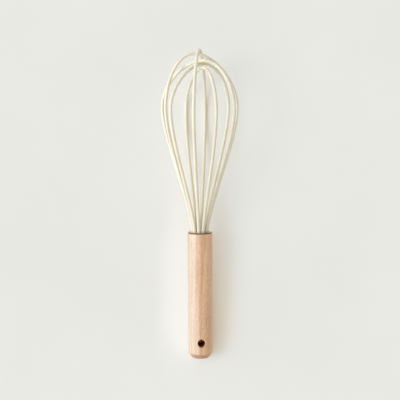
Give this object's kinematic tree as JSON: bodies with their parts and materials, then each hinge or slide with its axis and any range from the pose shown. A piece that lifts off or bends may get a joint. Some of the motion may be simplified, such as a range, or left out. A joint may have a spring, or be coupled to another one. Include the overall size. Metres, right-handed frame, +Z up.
{
  "type": "silicone whisk",
  "caption": "Balloon whisk with looped spring wires in silicone sleeves, a thin steel end cap and a turned beech handle with a chamfered butt and a hole to hang it by.",
  "frame": {"origin": "middle of the whisk's outline seen from above, on the table that it lies on", "axes": "+Y from the butt towards the crown, +Z up from the table, +X to the right when seen from above with the crown away from the viewer"},
  "size_m": [0.0601, 0.239, 0.0616],
  "materials": {
    "beech": "fine sanded and lightly oiled",
    "cap_steel": "satin",
    "bush_nylon": "moulded matte",
    "adhesive": "set adhesive",
    "spring_steel": "drawn wire",
    "silicone": "satin moulded"
  },
  "bodies": {
    "root": {"handle": "beech", "end_cap": "cap_steel", "wire_bush": "bush_nylon", "adhesive_fill": "adhesive", "wire_core_1": "spring_steel", "wire_core_2": "spring_steel", "wire_core_3": "spring_steel", "wire_core_4": "spring_steel", "wire_core_5": "spring_steel", "silicone_sleeve_1": "silicone", "silicone_sleeve_2": "silicone", "silicone_sleeve_3": "silicone", "silicone_sleeve_4": "silicone", "silicone_sleeve_5": "silicone"}
  },
  "joints": []
}
